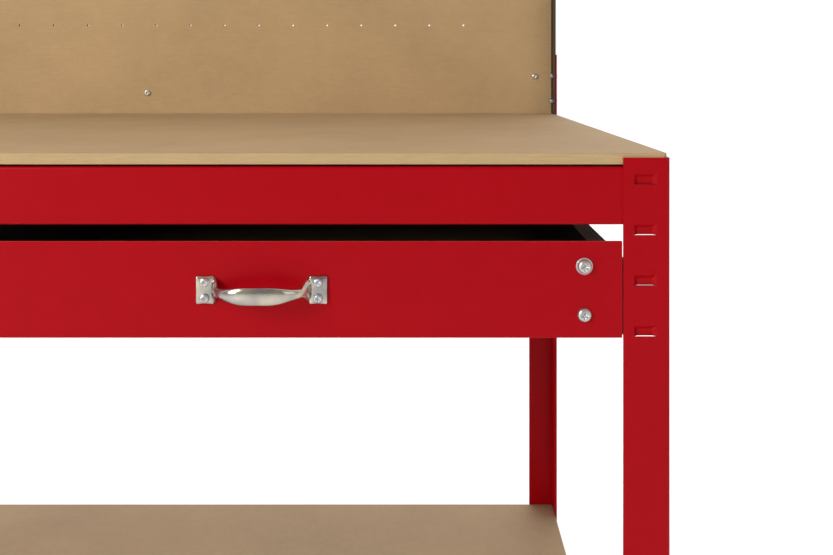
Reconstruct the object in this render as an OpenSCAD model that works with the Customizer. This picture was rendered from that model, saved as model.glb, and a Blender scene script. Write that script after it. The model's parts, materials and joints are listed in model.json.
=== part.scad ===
// Two-drawer steel workbench: slotted angle legs and hook-in beams carry a board worktop and a
// lower shelf, and a peg panel stands between two uprights behind the worktop.
// Millimetres. X is the width, Y runs from front to back, Z is up and the floor is at 0.

/* [Overall] */
// Width over the legs
bench_w = 1200; // [1000:10:1600]
// Depth over the legs
bench_d = 600; // [520:10:800]
// Height of the worktop's upper face
worktop_h = 860; // [760:5:1000]
// Height of the lower shelf's upper face
shelf_h = 267; // [200:1:400]
// Rise of the back frame above the worktop
back_rise = 600; // [450:10:900]

/* [Boards] */
// Thickness of the worktop and the shelf
board_t = 9; // [6:1:16]
// Gap between a board's edge and the steel beside it
board_gap = 0.3; // [0.2:0.1:1]
// Chamfer at a board's corners
board_chamfer = 2; // [1:0.5:5]
// Thickness of the back panel
panel_t = 5; // [3:0.5:8]

/* [Legs] */
// Flange width of a leg
leg_flange = 36.5; // [34:0.5:50]
// Sheet thickness of a leg
leg_t = 1.5; // [1:0.1:2]
// Outer radius of a leg's bend
leg_r = 2.5; // [2.2:0.1:4]
// Drop of a front leg's end below the worktop's upper face
leg_drop = 3.5; // [1:0.5:6]
// Rise of a rear leg's end above the worktop
rear_leg_rise = 88; // [75:1:150]
// Height of a foot cap
foot_h = 22; // [15:1:40]
// Wall of a foot cap round the leg
foot_wall = 2.5; // [1.5:0.5:5]
// Floor of a foot cap under the leg
foot_floor = 3; // [2:0.5:6]

/* [Slots] */
// Length of a pressed slot
slot_w = 17.5; // [12:0.5:19]
// Height of a pressed slot
slot_h = 8.6; // [6:0.1:10]
// Distance from the leg's corner to a slot's middle
slot_in = 19.5; // [18:0.5:22]
// Distance between slots along the leg
slot_pitch = 39.5; // [39.5:0.5:50]
// Number of slots in each group
slot_count = 4; // [2:1:4]
// Distance from a beam's top to its slot's middle
hook_drop = 11; // [8:0.5:15]
// How far a slot's pocket is pressed inwards
pocket_press = 2.4; // [1.5:0.1:4]
// Width of a pocket's sloping margins
pocket_slope = 2.8; // [2:0.1:4]
// Gap under a pocket's free lower edge
pocket_gap = 0.3; // [0.2:0.1:1]

/* [Beams] */
// Height of a beam
beam_h = 45.5; // [40:0.5:60]
// Drop of the front and rear beams below the boards, which rest on the side beams
beam_drop = 1.6; // [0.5:0.1:3]
// Width of a beam's top flange
beam_top = 20; // [15:1:30]
// Width of a beam's bottom lip
beam_lip = 8; // [5:1:12]
// Sheet thickness of a beam
beam_t = 1.2; // [0.8:0.1:1.5]
// Outer radius of a beam's bends
beam_r = 2.4; // [2:0.1:4]
// Gap between steel parts that meet at a corner
steel_gap = 0.4; // [0.2:0.1:1]
// Width of the brace under the shelf
brace_w = 50; // [30:5:80]
// Depth of the brace under the shelf
brace_h = 24; // [15:1:35]

/* [Back frame] */
// Flange width of an upright
upright_flange = 34; // [33:0.5:45]
// Sheet thickness of an upright and the top rail
upright_t = 1.5; // [1:0.1:2]
// Depth of the top rail's rear flange
rail_flange = 30; // [20:1:50]
// Depth of the top rail's front lip
rail_lip = 12; // [8:1:20]
// Pitch of the peg holes
peg_pitch = 51.5; // [40:0.5:80]
// Radius of a peg hole
peg_r = 1.5; // [1:0.25:4]
// Height of the lowest row of peg holes above the worktop
peg_first = 133; // [100:1:200]
// Plain border of the panel beside and above the peg holes
peg_border = 90; // [40:5:150]
// Width of the strap behind the panel
strap_w = 30; // [20:1:50]
// Rise of that strap above the worktop
strap_rise = 42; // [36:1:70]

/* [Drawers] */
// Height of a drawer front
front_h = 75; // [70:1:84]
// Gap between a beam and the drawer front below it
front_top_gap = 12.5; // [5:0.5:20]
// Gap between a drawer front and the leg beside it
front_side_gap = 0.9; // [0.6:0.1:3]
// Gap between the two drawer fronts
front_mid_gap = 4; // [3:0.5:8]
// Sheet thickness of a drawer front
front_t = 1.2; // [0.8:0.1:2]
// Depth of the folded side and lower edges of a drawer front
front_fold = 12; // [8:1:13]
// Depth of the hem along a drawer front's top
front_hem = 3; // [2:0.5:6]
// Height of the relief that the side folds leave below the hem
front_relief = 6; // [4:0.5:10]
// Sheet thickness of a drawer box
box_t = 1; // [0.8:0.1:1.5]
// Width of the flange along a drawer box's rim
box_rim = 12; // [8:1:20]
// Width of the flange that a drawer front is bolted to
box_tab = 28; // [24:1:40]
// Drop of a drawer box's rim below the front's top
box_drop = 3.2; // [2:0.1:10]
// Rise of a drawer box's floor above the front's bottom
box_lift = 3; // [2:0.1:10]
// Length of a drawer box past the end of its slides
box_behind = 16; // [5:1:30]

/* [Slides] */
// Thickness of a closed slide
slide_t = 12.7; // [12:0.1:14]
// Height of a slide
slide_h = 45; // [42:1:46]
// Length of a slide
slide_l = 450; // [350:10:480]
// Sheet thickness of the slide members
slide_sheet = 1.2; // [1:0.1:1.3]
// Height of the space that the balls run in
race_h = 4.8; // [4:0.1:5]
// Setback of the slides behind the face of the drawer front
slide_setback = 14; // [13.5:0.5:30]
// Radius of a slide's balls
ball_r = 1.75; // [1.5:0.05:1.8]
// Number of balls along a cage
ball_count = 8; // [4:1:12]
// Sheet thickness of the carrier plates
carrier_t = 1.5; // [1:0.1:2]
// Height of a carrier plate beside the slides
carrier_h = 59.5; // [59:0.5:75]
// Drop of a carrier plate's top below the drawer front's top
carrier_drop = 14; // [12:0.5:20]
// Margin between an outer carrier's flange and the leg's corner
carrier_margin = 6.5; // [5:0.5:10]
// Width of a centre carrier's end and top flanges
carrier_flange = 22; // [18:1:28]
// Drop of the slides' middle below the top of their carrier plates
slide_drop = 25.5; // [24:0.5:28]

/* [Handles] */
// Distance between the screw columns of a handle
handle_span = 88; // [76:1:128]
// Width of a handle's foot plate
plate_w = 14.4; // [12:0.2:20]
// Height of a handle's foot plate
plate_h = 22.6; // [20:0.2:30]
// Thickness of a handle's foot plate
plate_t = 2.4; // [1.5:0.1:4]
// Projection of a handle from the drawer front
handle_out = 23; // [20:1:40]
// Thickness of a handle's grip
grip_t = 4; // [3:0.5:6]
// Height of the grip at its necks
neck_h = 8; // [6:0.5:12]
// Height of the grip at its middle
grip_h = 13; // [10:0.5:20]
// Distance between a foot plate's two screws
handle_screw_pitch = 12.4; // [10:0.2:16]

/* [Fasteners] */
// Radius of a frame bolt's shank
bolt_r = 2.5; // [2:0.5:3]
// Radius of a drawer front bolt's shank
front_bolt_r = 3; // [2.5:0.5:4]
// Radius of a handle screw's shank
screw_r = 2; // [1.5:0.5:2.5]
// Clearance round a shank in its hole
hole_gap = 0.25; // [0.1:0.05:0.5]
// Height above the worktop of the lower bolt in each rear leg's side
side_bolt_low = 19; // [14:1:24]
// Height above the worktop of the upper bolt and the lowest panel screw
side_bolt_high = 56; // [45:1:60]
// Distance from the outer corner to those side bolts
side_bolt_in = 19; // [14:1:24]
// Distance from the bench's side to the panel screws
panel_screw_in = 29; // [26:1:31]
// Height above the worktop of the screw through the strap
strap_screw = 31; // [24:1:36]
// Distance from a drawer front's end to its bolts
front_bolt_in = 29.6; // [27:0.1:36]
// Distance from a drawer front's top to its upper bolts
front_bolt_top = 19.2; // [16:0.1:24]
// Distance between a drawer front's upper and lower bolts
front_bolt_pitch = 37.8; // [30:0.1:42]

/* [Hidden] */
$fn = 48;
big_fn = 240;
peg_fn = 24;
cut = 1;
hole_reach = 10;

steel_red = "#a8171f";
steel_black = "#1b1a1d";
fibreboard = "#b89a70";
hardboard = "#b0906a";
zinc = "#c9c9c6";
chrome = "#d5d3ce";
plastic_black = "#202020";

// frame bolts
bolt_head_r = 1.9 * bolt_r;
bolt_head_h = 1.2 * bolt_r;
bolt_nut_r = 1.85 * bolt_r;
bolt_nut_h = 1.6 * bolt_r;
thread_end = 1;
rear_out = bolt_nut_h + thread_end;

// The object's box is centred on Y = 0, between the handles and the rear nuts.
mid_y = (handle_out - rear_out) / 2;
front_y = mid_y - bench_d / 2;

// levels
top_beam_z = worktop_h - board_t;
shelf_beam_z = shelf_h - board_t;
top_slots = [for (i = [0 : slot_count - 1]) top_beam_z - hook_drop - i * slot_pitch];
low_slots = [for (i = [0 : slot_count - 1]) shelf_beam_z - hook_drop - i * slot_pitch];
frame_top_z = worktop_h + back_rise;
beam_under_z = top_beam_z - beam_drop - beam_h;

// depths, measured inwards from the outer face of the rear legs
upright_y = leg_t;
panel_y = leg_t + upright_t;
panel_face_y = panel_y + panel_t;

// the top edge's screws, below the rail's flange on the sides and below its lip along the top
side_screw_gap = 10;
rail_screw_gap = 8;

// the centre carriers' bolts, two to a flange; the strap is centred on them
carrier_bolt_share = 0.6;
strap_x = carrier_bolt_share * carrier_flange;
carrier_bolt_rise = beam_h / 5;
strap_cover = 0.85;
strap_low = beam_drop + strap_cover * beam_h;

// drawers: x positions are those of the right drawer
front_x0 = front_mid_gap / 2;
front_x1 = bench_w / 2 - leg_flange - front_side_gap;
front_w = front_x1 - front_x0;
front_x = (front_x0 + front_x1) / 2;
front_top_z = beam_under_z - front_top_gap;
front_low_z = front_top_z - front_h;
front_mid_z = (front_top_z + front_low_z) / 2;
carrier_x = bench_w / 2 - leg_flange;
box_x0 = carrier_t + slide_t;
box_x1 = carrier_x - slide_t;
box_w = box_x1 - box_x0;
box_y = front_y + front_t;
box_d = slide_setback - front_t + slide_l + box_behind;
box_low_z = front_low_z + box_lift;
box_h = front_top_z - box_drop - box_low_z;
carrier_top_z = front_top_z - carrier_drop;
slide_z = carrier_top_z - slide_drop;
slide_y = front_y + slide_setback;

// slide sections, as half heights and distances from the carrier plate
fixed_half = slide_h / 2;
middle_half = fixed_half - slide_sheet - race_h;
inner_half = middle_half - slide_sheet - race_h;
race_gap = 1;
middle_web = slide_sheet + race_gap;
inner_lip_at = middle_web + slide_sheet + race_gap;
fixed_reach = 0.75 * slide_t;
drawer_space = 2.1;
middle_reach = slide_t - drawer_space;
lip_h = 2.1;
inner_lip_h = 1.7;
cage_sheet = 0.8;
cage_l = slide_l / 2 - 10;
cage_y = (slide_l - cage_l) / 2;
fixed_cage_half = fixed_half - slide_sheet - race_h / 2;
inner_cage_half = middle_half - slide_sheet - race_h / 2;
fixed_cage_x = 5;
fixed_cage_w = 4.6;
inner_cage_x = 7.5;
inner_cage_w = 3;

// handle
handle_half = (handle_span + plate_w) / 2;
grip_overlap = 2.2;
grip_half = handle_half - plate_w + grip_overlap;
grip_rise = handle_out - plate_t;
grip_R = (grip_half * grip_half + grip_rise * grip_rise) / (2 * grip_rise);
neck_drop = (grip_h - neck_h) / 2;
swell_R = (grip_half * grip_half + neck_drop * neck_drop) / (2 * neck_drop);
plate_round = 3;

// drawer and handle fasteners
front_head_r = 1.85 * front_bolt_r;
front_head_h = 1.2 * front_bolt_r;
front_nut_r = 1.9 * front_bolt_r;
front_nut_h = 1.6 * front_bolt_r;
washer_r = 2.2 * front_bolt_r;
washer_t = 1.2;
screw_head_r = 1.85 * screw_r;
screw_head_h = 1.2 * screw_r;
screw_nut_r = 1.95 * screw_r;
screw_nut_h = 1.5 * screw_r;

// ---------------------------------------------------------------- placing

// A corner's own frame: the outer corner at the origin, X and Y running inwards.
module at_corner(sx, sy) {
    translate([sx * bench_w / 2, mid_y + sy * bench_d / 2, 0])
        mirror([sx > 0 ? 1 : 0, 0, 0])
            mirror([0, sy > 0 ? 1 : 0, 0])
                children();
}

// A side's own frame: X along the side, Y inwards from its outer face.
// Side 0 is the front, 1 the right, 2 the rear and 3 the left.
module on_side(i) {
    translate([0, mid_y, 0])
        rotate(90 * i)
            translate([0, -across(i) / 2, 0])
                children();
}

// The front and rear beams sit a little below the boards.
function beam_level(i, board_z) = i % 2 == 0 ? board_z - beam_drop : board_z;
function across(i) = i % 2 == 0 ? bench_d : bench_w;
function along(i) = i % 2 == 0 ? bench_w : bench_d;

// The left drawer is the right one mirrored.
module on_drawer(side) {
    mirror([side < 0 ? 1 : 0, 0, 0]) children();
}

// Lays an outline on the YZ plane and extrudes it along X, about the middle.
module along_x(length) {
    translate([-length / 2, 0, 0]) rotate([90, 0, 90]) linear_extrude(length) children();
}

// ---------------------------------------------------------------- sheet profiles

// A quarter ring that turns from one sheet to the next.
module bend(t, r) {
    intersection() {
        translate([r, r]) difference() {
            circle(r);
            circle(r - t);
        }
        square(r);
    }
}

module angle_profile(w, t, r) {
    bend(t, r);
    translate([r, 0]) square([w - r, t]);
    translate([0, r]) square([t, w - r]);
}

module channel_profile(h, top_w, low_w, t, r) {
    bend(t, r);
    translate([r, 0]) square([low_w - r, t]);
    translate([0, r]) square([t, h - 2 * r]);
    translate([0, h]) mirror([0, 1]) {
        bend(t, r);
        translate([r, 0]) square([top_w - r, t]);
    }
}

module rounded_rect(w, h, r) {
    square([w - 2 * r, h], center = true);
    square([w, h - 2 * r], center = true);
    for (x = [-1, 1], y = [-1, 1])
        translate([x * (w / 2 - r), y * (h / 2 - r)]) circle(r);
}

// ---------------------------------------------------------------- fasteners

// A pan head with a cross recess, standing on Z = 0 with its shank below.
module pan_screw(r, head_r, head_h, length) {
    rim_h = 0.45 * head_h;
    crown_r = 0.72 * head_r;
    cross_l = 0.9 * head_r;
    cross_w = 0.22 * head_r;
    cross_z = 0.4 * head_h;
    difference() {
        union() {
            cylinder(r = head_r, h = rim_h);
            translate([0, 0, rim_h]) cylinder(r1 = head_r, r2 = crown_r, h = head_h - rim_h);
            translate([0, 0, -length]) cylinder(r = r, h = length);
        }
        translate([-cross_l / 2, -cross_w / 2, cross_z]) cube([cross_l, cross_w, head_h]);
        translate([-cross_w / 2, -cross_l / 2, cross_z]) cube([cross_w, cross_l, head_h]);
    }
}

module nut(r, across_r, h) {
    difference() {
        cylinder(r = across_r, h = h, $fn = 6);
        translate([0, 0, -cut]) cylinder(r = r, h = h + 2 * cut);
    }
}

// A frame bolt through a stack of sheets whose lower face is at Z = -stack.
module frame_bolt(stack) {
    pan_screw(bolt_r, bolt_head_r, bolt_head_h, stack + bolt_nut_h + thread_end);
    translate([0, 0, -stack - bolt_nut_h]) nut(bolt_r, bolt_nut_r, bolt_nut_h);
}

// Long enough to pass any stack of sheets and boards on either side of Z = 0.
module bolt_hole(r) {
    translate([0, 0, -hole_reach]) cylinder(r = r + hole_gap, h = 2 * hole_reach);
}

// ---------------------------------------------------------------- legs and feet

// Runs its children at every slot of one flange, and again on the other flange.
module at_slots(zs) {
    for (z = zs) {
        translate([slot_in, 0, z]) children();
        mirror([1, -1, 0]) translate([slot_in, 0, z]) children();
    }
}

// The sheet inside a slot is pressed inwards: it slopes at the top and both ends, and is cut free below.
module pocket() {
    difference() {
        pocket_body(leg_t);
        pocket_body(0);
    }
}

// Everything from the leg's outer face to the pressed sheet's outer face, moved inwards by t.
module pocket_body(t) {
    x = slot_w / 2;
    z = slot_h / 2;
    low = -z + pocket_gap;
    extra = t > 0 ? 0 : cut;
    intersection() {
        along_x(slot_w)
            polygon([
                [-extra, z], [t, z], [t + pocket_press, z - pocket_slope],
                [t + pocket_press, low - extra], [-extra, low - extra],
            ]);
        translate([0, 0, low - extra]) linear_extrude(z + extra - low)
            polygon([
                [-x, -extra], [-x, t], [-x + pocket_slope, t + pocket_press],
                [x - pocket_slope, t + pocket_press], [x, t], [x, -extra],
            ]);
    }
}

module leg(sx, sy, top_z) {
    slots = concat(top_slots, low_slots);
    color(steel_red) at_corner(sx, sy) difference() {
        union() {
            difference() {
                translate([0, 0, foot_floor])
                    linear_extrude(top_z - foot_floor) angle_profile(leg_flange, leg_t, leg_r);
                at_slots(slots) translate([-slot_w / 2, -cut, -slot_h / 2])
                    cube([slot_w, leg_t + 2 * cut, slot_h]);
            }
            at_slots(slots) pocket();
        }
        if (sy > 0) rear_corner_holes();
    }
}

// The holes that a rear leg and its upright share.
module rear_corner_holes() {
    for (z = [side_bolt_low, side_bolt_high])
        translate([0, side_bolt_in, worktop_h + z]) rotate([0, 90, 0]) bolt_hole(bolt_r);
    for (z = panel_screw_zs())
        translate([panel_screw_in, 0, z]) rotate([90, 0, 0]) bolt_hole(bolt_r);
}

module foot(sx, sy) {
    outer_t = leg_t + 2 * foot_wall;
    color(plastic_black) at_corner(sx, sy) difference() {
        translate([-foot_wall, -foot_wall, 0])
            linear_extrude(foot_h) angle_profile(leg_flange + 2 * foot_wall, outer_t, leg_r + outer_t);
        translate([0, 0, foot_floor]) linear_extrude(foot_h) angle_profile(leg_flange, leg_t, leg_r);
    }
}

// ---------------------------------------------------------------- beams and boards

module beam(i, board_z, slots) {
    top_z = beam_level(i, board_z);
    corner = leg_r + steel_gap;
    side_web = i % 2 == 0 ? 0 : beam_t;
    web_l = along(i) - 2 * (corner + side_web);
    flange_l = along(i) - 2 * (corner + (i % 2 == 0 ? beam_t : beam_top));
    color(steel_red) on_side(i) difference() {
        translate([0, leg_t, top_z - beam_h]) {
            along_x(flange_l) channel_profile(beam_h, beam_top, beam_lip, beam_t, beam_r);
            along_x(web_l) translate([0, beam_r]) square([beam_t, beam_h - 2 * beam_r]);
        }
        beam_windows(i, slots);
        if (i % 2 == 0 && board_z == top_beam_z) carrier_bolt_places() bolt_hole(bolt_r);
    }
}

// Clears the pockets at both ends of a side.
module beam_windows(i, slots) {
    for (s = [-1, 1], z = slots)
        translate([s * (along(i) / 2 - slot_in), 0, z])
            translate([-slot_w / 2 - steel_gap, -cut, -slot_h / 2])
                cube([slot_w + 2 * steel_gap, leg_t + carrier_t + 2 * cut, slot_h]);
}

module worktop_outline() {
    x = bench_w / 2 - leg_t - board_gap;
    y0 = leg_t + board_gap;
    y1 = bench_d - panel_face_y - board_gap;
    notch_x = bench_w / 2 - leg_t - upright_t - board_gap;
    notch_y = bench_d - leg_t - upright_flange - board_gap;
    c = board_chamfer;
    polygon([
        [-x, y0 + c], [-x + c, y0], [x - c, y0], [x, y0 + c],
        [x, notch_y], [notch_x, notch_y], [notch_x, y1],
        [-notch_x, y1], [-notch_x, notch_y], [-x, notch_y],
    ]);
}

module worktop() {
    color(fibreboard) on_side(0) translate([0, 0, top_beam_z]) linear_extrude(board_t) worktop_outline();
}

module lower_shelf() {
    x = bench_w / 2 - leg_t - board_gap;
    y0 = leg_t + board_gap;
    y1 = bench_d - y0;
    c = board_chamfer;
    color(fibreboard) on_side(0) translate([0, 0, shelf_beam_z]) linear_extrude(board_t)
        polygon([
            [-x, y0 + c], [-x + c, y0], [x - c, y0], [x, y0 + c],
            [x, y1 - c], [x - c, y1], [-x + c, y1], [-x, y1 - c],
        ]);
}

// A channel open below; its walls run on to the beams' webs under their flanges.
module shelf_brace() {
    top_l = bench_d - 2 * (leg_t + beam_top + steel_gap);
    wall_l = bench_d - 2 * (leg_t + beam_t);
    wall_h = brace_h - beam_drop - beam_t - steel_gap;
    color(steel_red) translate([0, mid_y, shelf_beam_z]) {
        translate([-brace_w / 2, -top_l / 2, -beam_t]) cube([brace_w, top_l, beam_t]);
        for (s = [-1, 1]) translate([s * (brace_w - beam_t) / 2, 0, 0]) {
            translate([-beam_t / 2, -wall_l / 2, -brace_h]) cube([beam_t, wall_l, wall_h]);
            translate([-beam_t / 2, -top_l / 2, -brace_h]) cube([beam_t, top_l, brace_h]);
        }
    }
}

// ---------------------------------------------------------------- back frame

function panel_screw_zs() = [
    worktop_h + side_bolt_high,
    (worktop_h + side_bolt_high + frame_top_z - rail_flange) / 2,
    frame_top_z - rail_flange - side_screw_gap,
];

module upright(sx) {
    color(steel_black) at_corner(sx, 1) difference() {
        translate([leg_t, leg_t, top_beam_z])
            linear_extrude(frame_top_z - upright_t - top_beam_z)
                angle_profile(upright_flange, upright_t, leg_r);
        rear_corner_holes();
    }
}

// The top rail caps the panel and both uprights; its rear flange fits between the uprights.
module top_rail() {
    cap_x = bench_w - 2 * leg_t;
    lip_x = cap_x - 2 * (upright_t + steel_gap);
    rear_x = cap_x - 2 * (upright_flange + steel_gap);
    cap_y = panel_face_y + steel_gap + upright_t - upright_y;
    color(steel_black) on_side(2) difference() {
        translate([0, 0, frame_top_z]) {
            translate([-cap_x / 2, upright_y, -upright_t]) cube([cap_x, cap_y, upright_t]);
            translate([-lip_x / 2, panel_face_y + steel_gap, -rail_lip]) cube([lip_x, upright_t, rail_lip]);
            translate([-rear_x / 2, upright_y, -rail_flange]) cube([rear_x, upright_t, rail_flange]);
        }
        rail_screw_places() bolt_hole(bolt_r);
    }
}

module back_panel() {
    x = bench_w / 2 - leg_t - leg_r;
    top_z = frame_top_z - upright_t;
    low_z = top_beam_z - beam_drop;
    columns = floor((x - peg_border) / peg_pitch);
    rows = floor((top_z - peg_border - worktop_h - peg_first) / peg_pitch);
    color(hardboard) on_side(2) difference() {
        translate([-x, panel_y, low_z]) cube([2 * x, panel_t, top_z - low_z]);
        for (c = [-columns : columns], r = [0 : rows])
            translate([c * peg_pitch, panel_y - cut, worktop_h + peg_first + r * peg_pitch])
                rotate([-90, 0, 0]) cylinder(r = peg_r, h = panel_t + 2 * cut, $fn = peg_fn);
        side_screw_places() bolt_hole(bolt_r);
        rail_screw_places() bolt_hole(bolt_r);
        strap_screw_place() bolt_hole(bolt_r);
    }
}

// Screw places on the rear side: each one's Z axis points out of the panel's face.
module on_panel(x, z) {
    translate([x, panel_face_y, z]) rotate([-90, 0, 0]) children();
}

module side_screw_places() {
    for (s = [-1, 1], z = panel_screw_zs()) on_panel(s * (bench_w / 2 - panel_screw_in), z) children();
}

module rail_screw_places() {
    for (s = [-1 : 1]) on_panel(s * bench_w / 4, frame_top_z - rail_lip - rail_screw_gap) children();
}

module strap_screw_place() {
    on_panel(strap_x, worktop_h + strap_screw) children();
}

module panel_screws() {
    color(zinc) on_side(2) {
        for (s = [-1, 1], i = [0 : 2])
            on_panel(s * (bench_w / 2 - panel_screw_in), panel_screw_zs()[i])
                frame_bolt(panel_t + upright_t + (i == 0 ? leg_t : 0));
        rail_screw_places() frame_bolt(panel_t + upright_t);
        strap_screw_place() frame_bolt(panel_t + upright_t);
    }
}

// The strap shares the left centre carrier's rear bolts. It steps inwards above the beam, behind the panel.
module panel_strap() {
    top = board_t + strap_rise;
    color(steel_black) on_side(2) difference() {
        translate([strap_x, 0, top_beam_z]) along_x(strap_w)
            polygon([
                [0, -strap_low], [leg_t, -strap_low], [leg_t, 0], [panel_y, 0],
                [panel_y, top], [leg_t, top], [leg_t, upright_t], [0, upright_t],
            ]);
        strap_screw_place() bolt_hole(bolt_r);
        carrier_bolt_places() bolt_hole(bolt_r);
    }
}

module upright_bolts() {
    color(zinc) for (sx = [-1, 1], z = [side_bolt_low, side_bolt_high])
        at_corner(sx, 1) translate([0, side_bolt_in, worktop_h + z])
            rotate([0, -90, 0]) frame_bolt(leg_t + upright_t);
}

// ---------------------------------------------------------------- drawer carriers

// A plate beside the outer slides; its end flanges hook over the tongues in two legs.
module outer_carrier(side) {
    reach = leg_flange - carrier_margin;
    color(steel_black) on_drawer(side) difference() {
        translate([carrier_x, front_y + leg_t, carrier_top_z - carrier_h])
            linear_extrude(carrier_h)
                channel_profile(bench_d - 2 * leg_t, reach, reach, carrier_t, leg_r);
        on_side(0) beam_windows(0, top_slots);
        on_side(2) beam_windows(2, top_slots);
    }
}

// Two plates stand back to back in the middle; their end flanges are bolted inside the beams.
module centre_carrier(side) {
    web_y = leg_t + beam_t;
    low_y = leg_t + beam_lip + steel_gap;
    flange_y = leg_t + beam_top + steel_gap;
    lip_z = beam_under_z + beam_r;
    upper_h = beam_h - 2 * beam_r;
    low_z = carrier_top_z - carrier_h;
    color(steel_black) on_drawer(side) difference() {
        translate([0, front_y, 0]) {
            translate([0, web_y, lip_z]) linear_extrude(upper_h)
                channel_profile(bench_d - 2 * web_y, carrier_flange, carrier_flange, carrier_t, leg_r);
            translate([0, low_y, low_z]) cube([carrier_t, bench_d - 2 * low_y, lip_z + cut - low_z]);
            translate([0, flange_y, lip_z]) cube([carrier_t, bench_d - 2 * flange_y, top_beam_z - lip_z]);
            translate([0, flange_y, top_beam_z - carrier_t])
                cube([carrier_flange, bench_d - 2 * flange_y, carrier_t]);
        }
        for (i = [0, 2]) on_side(i) carrier_bolt_places() bolt_hole(bolt_r);
    }
}

// Each place's Z axis points out of the beam's face.
module carrier_bolt_places(sides = [-1, 1]) {
    for (s = sides, z = [-1, 1])
        translate([s * strap_x, leg_t, top_beam_z - beam_drop - beam_h / 2 + z * carrier_bolt_rise])
            rotate([90, 0, 0]) children();
}

// Seen from the rear, the strap is on the right, so its bolts start one sheet further out.
module carrier_bolts() {
    stack = beam_t + carrier_t;
    color(zinc) {
        on_side(0) carrier_bolt_places() frame_bolt(stack);
        on_side(2) carrier_bolt_places([-1]) frame_bolt(stack);
        on_side(2) carrier_bolt_places([1]) translate([0, 0, leg_t]) frame_bolt(leg_t + stack);
    }
}

// ---------------------------------------------------------------- slides

// A slide's own frame: X runs from its carrier plate to the drawer, Y backwards, Z up from its middle.
module on_slide(side, outer) {
    on_drawer(side)
        translate([outer ? carrier_x : carrier_t, slide_y, slide_z])
            mirror([outer ? 1 : 0, 0, 0]) children();
}

module slide_member(profile_l) {
    translate([0, profile_l, 0]) rotate([90, 0, 0]) linear_extrude(profile_l) children();
}

// A channel whose flanges run from x0 to x1, with a lip on each. Positive lips turn outwards.
module race_profile(half, web_x, x0, x1, lip_x, lip) {
    flange_z = half - slide_sheet;
    translate([web_x, -half]) square([slide_sheet, 2 * half]);
    for (s = [0, 1]) mirror([0, s]) {
        translate([x0, flange_z]) square([x1 - x0, slide_sheet]);
        translate([lip_x, flange_z + min(lip, 0)]) square([slide_sheet, abs(lip) + slide_sheet]);
    }
}

module slide_fixed(side, outer) {
    color(zinc) on_slide(side, outer) slide_member(slide_l)
        race_profile(fixed_half, 0, 0, fixed_reach, fixed_reach - slide_sheet, -lip_h);
}

module slide_middle(side, outer) {
    color(zinc) on_slide(side, outer) slide_member(slide_l)
        race_profile(middle_half, middle_web, middle_web, middle_reach, middle_reach - slide_sheet, -lip_h);
}

module slide_inner(side, outer) {
    color(zinc) on_slide(side, outer) slide_member(slide_l)
        race_profile(inner_half, slide_t - slide_sheet, inner_lip_at, slide_t, inner_lip_at, inner_lip_h);
}

// A strip that spaces the balls of one race, and the same strip in the race below.
module cage(half, x, width) {
    step = cage_l / ball_count;
    for (s = [0, 1]) mirror([0, 0, s]) translate([x, cage_y, half]) {
        translate([-width / 2, 0, -cage_sheet / 2]) cube([width, cage_l, cage_sheet]);
        for (i = [0 : ball_count - 1]) translate([0, (i + 0.5) * step, 0]) sphere(ball_r);
    }
}

module fixed_cages(side) {
    color(zinc) for (outer = [false, true])
        on_slide(side, outer) cage(fixed_cage_half, fixed_cage_x, fixed_cage_w);
}

module inner_cages(side) {
    color(zinc) for (outer = [false, true])
        on_slide(side, outer) cage(inner_cage_half, inner_cage_x, inner_cage_w);
}

// ---------------------------------------------------------------- drawers

module drawer_front(side) {
    color(steel_red) on_drawer(side) difference() {
        translate([front_x0, front_y, front_low_z]) cube([front_w, front_fold, front_h]);
        translate([front_x0 + front_t, front_y + front_t, front_low_z + front_t])
            cube([front_w - 2 * front_t, front_fold, front_h - 2 * front_t]);
        translate([front_x0 - cut, front_y + front_hem, front_top_z - front_relief])
            cube([front_w + 2 * cut, front_fold, front_relief + cut]);
        front_bolt_places() bolt_hole(front_bolt_r);
        handle_screw_places() bolt_hole(screw_r);
    }
}

module drawer_box(side) {
    rim_z = box_low_z + box_h - box_t;
    color(steel_black) on_drawer(side) difference() {
        union() {
            difference() {
                translate([box_x0, box_y, box_low_z]) cube([box_w, box_d, box_h]);
                translate([box_x0 + box_t, box_y - cut, box_low_z + box_t])
                    cube([box_w - 2 * box_t, box_d + cut - box_t, box_h]);
            }
            for (x = [box_x0, box_x1 - box_rim]) translate([x, box_y, rim_z]) cube([box_rim, box_d, box_t]);
            translate([box_x0, box_y + box_d - box_rim, rim_z]) cube([box_w, box_rim, box_t]);
            for (x = [box_x0, box_x1 - box_tab])
                translate([x, box_y, box_low_z]) cube([box_tab, box_t, box_h]);
        }
        front_bolt_places() bolt_hole(front_bolt_r);
    }
}

// Each place's Z axis points out of the drawer front.
module on_front(x, z) {
    translate([x, front_y, z]) rotate([90, 0, 0]) children();
}

module front_bolt_places(rows = [0, 1]) {
    for (x = [front_x0 + front_bolt_in, front_x1 - front_bolt_in], i = rows)
        on_front(x, front_top_z - front_bolt_top - i * front_bolt_pitch) children();
}

module handle_screw_places() {
    for (s = [-1, 1], t = [-1, 1])
        on_front(front_x + s * handle_span / 2, front_mid_z + t * handle_screw_pitch / 2) children();
}

// The upper bolt of each pair has a washer under its head.
module front_bolts(side) {
    stack = front_t + box_t;
    color(zinc) on_drawer(side) {
        front_bolt_places([0]) cylinder(r = washer_r, h = washer_t);
        for (i = [0, 1]) front_bolt_places([i]) {
            lift = i == 0 ? washer_t : 0;
            shank_l = lift + stack + front_nut_h + thread_end;
            translate([0, 0, lift]) pan_screw(front_bolt_r, front_head_r, front_head_h, shank_l);
            translate([0, 0, -stack - front_nut_h]) nut(front_bolt_r, front_nut_r, front_nut_h);
        }
    }
}

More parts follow.
